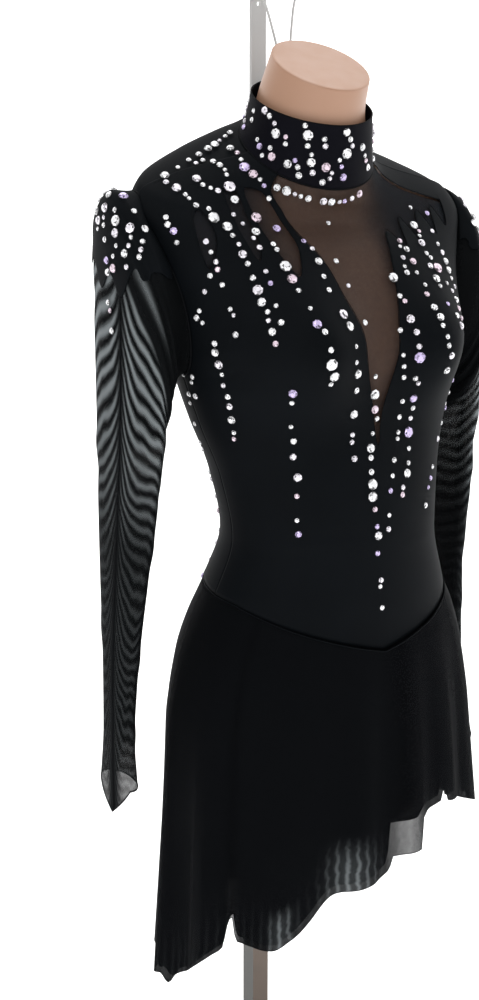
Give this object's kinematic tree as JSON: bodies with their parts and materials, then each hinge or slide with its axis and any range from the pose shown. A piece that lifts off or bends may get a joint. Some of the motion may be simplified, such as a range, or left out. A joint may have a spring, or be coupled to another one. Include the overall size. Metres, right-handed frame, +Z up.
{
  "type": "figure skating dress on a dress form",
  "caption": "Long-sleeved figure skating dress with flame-edged mesh yoke and layered mesh skirt, worn by a limbless dress form on a square post and flat base.",
  "frame": {"origin": "on the underside of the base plate, under the middle of the waist", "axes": "+Z up, the front of the dress faces -Y, the wearer's right is -X"},
  "size_m": [0.461, 0.35, 1.25],
  "materials": {
    "black_cloth": "opaque stretch cloth with a soft sheen",
    "black_mesh": "sheer power mesh",
    "form_paint": "satin beige",
    "bright_steel": "brushed",
    "grey_steel": "satin grey",
    "dark_paint": "satin dark grey",
    "button_black": "gloss",
    "crystal": "faceted flat-back stones",
    "black_thread": "rolled edges and seams"
  },
  "bodies": {
    "root": {"dress_form": "form_paint", "front_yoke": "black_mesh", "front_bodice": "black_cloth", "back_bodice": "black_cloth", "back_yoke_right": "black_cloth", "back_yoke_left": "black_cloth", "collar": "black_cloth", "sleeve_right": "black_mesh", "sleeve_left": "black_mesh", "shoulder_cap_right": "black_cloth", "shoulder_cap_left": "black_cloth", "skirt_outer": "black_mesh", "skirt_inner": "black_mesh", "briefs": "black_cloth", "gusset": "black_cloth", "base_plate": "dark_paint", "post_tube": "grey_steel", "post_bar": "bright_steel", "post_clamp": "dark_paint", "hang_arm": "bright_steel", "arm_stop": "dark_paint", "neck_eye": "bright_steel", "hang_wire": "bright_steel", "collar_button_1": "button_black", "collar_button_2": "button_black", "collar_button_3": "button_black"}
  },
  "joints": []
}
